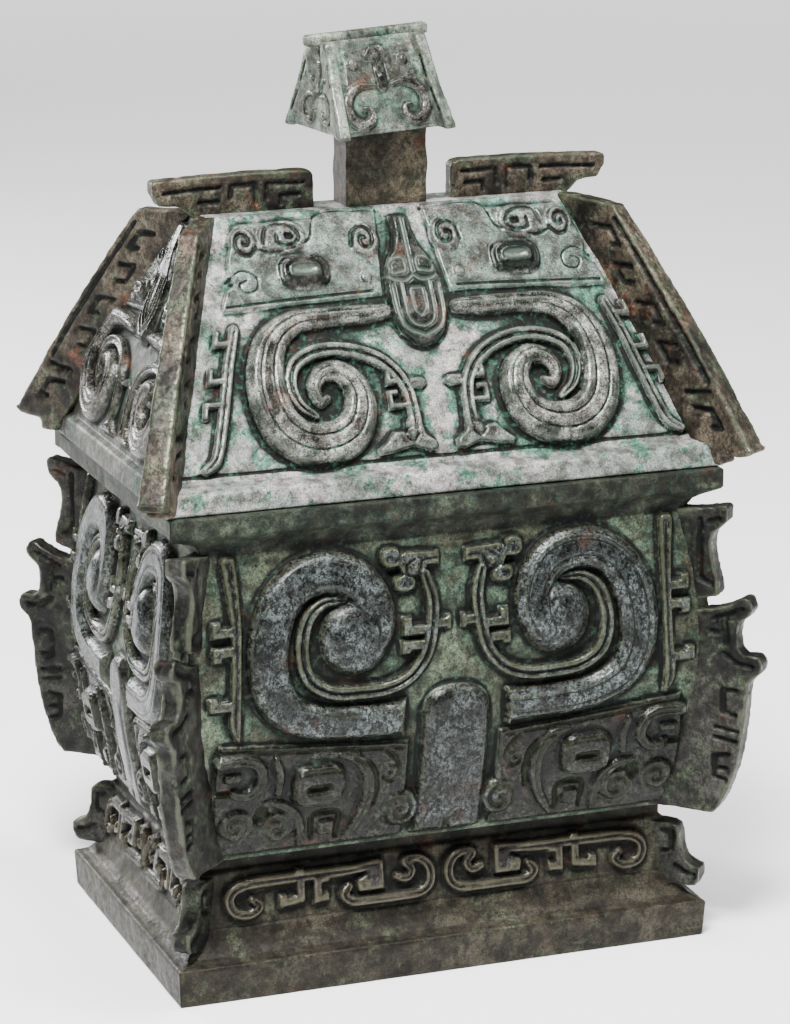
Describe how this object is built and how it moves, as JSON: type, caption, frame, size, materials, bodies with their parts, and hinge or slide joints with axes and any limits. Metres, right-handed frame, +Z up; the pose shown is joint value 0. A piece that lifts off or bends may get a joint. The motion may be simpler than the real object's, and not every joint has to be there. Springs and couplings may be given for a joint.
{
  "type": "fangyi ritual vessel",
  "caption": "Square bronze wine vessel on a foot, with a roof-shaped lift-off lid, corner flanges and cast masks on every face; it stands on its foot.",
  "frame": {"origin": "centre of the foot's underside, on the surface the vessel stands on", "axes": "+Z up, +X along the long side to the right seen from the front, front faces -Y"},
  "size_m": [0.2784, 0.2188, 0.3975],
  "materials": {
    "body_bronze": "patinated cast bronze, dark grey-brown to olive green",
    "lid_bronze": "patinated cast bronze, grey-green to turquoise"
  },
  "bodies": {
    "root": {"vessel_body": "body_bronze", "lid": "lid_bronze"}
  },
  "joints": []
}
